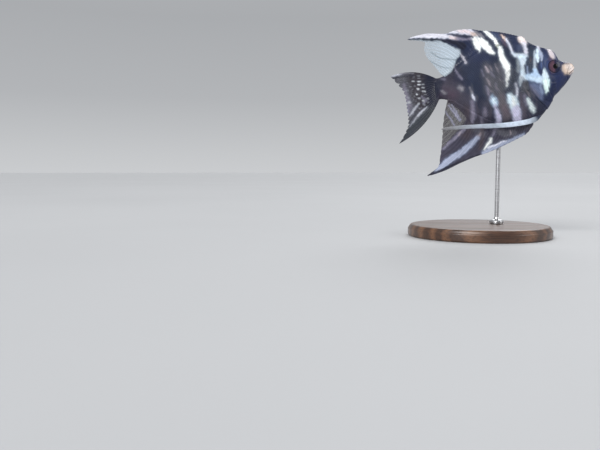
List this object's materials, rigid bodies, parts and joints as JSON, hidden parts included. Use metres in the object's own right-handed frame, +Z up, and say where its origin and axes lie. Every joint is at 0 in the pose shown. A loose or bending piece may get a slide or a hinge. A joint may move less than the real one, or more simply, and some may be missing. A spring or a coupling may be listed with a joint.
{
  "type": "freshwater angelfish model",
  "caption": "Still life-size model of a marbled freshwater angelfish, held slightly nose-up above a flat round base by one thin rod.",
  "frame": {"origin": "centre of the underside of the stand's round base, on the surface it stands on", "axes": "+X to the fish's snout, +Y to the fish's left, +Z up; the body axis is nose-up by 8.4 degrees from +X"},
  "size_m": [0.108, 0.084, 0.1223],
  "materials": {
    "body_skin": "satin, marbled blue-black and lavender-white with fine scales",
    "fin": "satin, dark with pale stripes along the rays, clear in places",
    "jaw": "satin, cream-orange",
    "eye": "glossy, dark red-brown iris and black pupil",
    "base_wood": "oiled walnut, satin",
    "rod_steel": "satin stainless steel"
  },
  "bodies": {
    "root": {"head": "body_skin", "lower_jaw": "jaw", "gill_cover_right": "body_skin", "gill_cover_left": "body_skin", "trunk": "body_skin", "tail_stalk": "body_skin", "dorsal_fin": "fin", "anal_fin": "fin", "caudal_fin": "fin", "pectoral_fin_right": "fin", "pectoral_fin_left": "fin", "pelvic_fin_right": "fin", "pelvic_fin_left": "fin", "eye_right": "eye", "eye_left": "eye", "stand_base": "base_wood", "stand_rod": "rod_steel"}
  },
  "joints": []
}
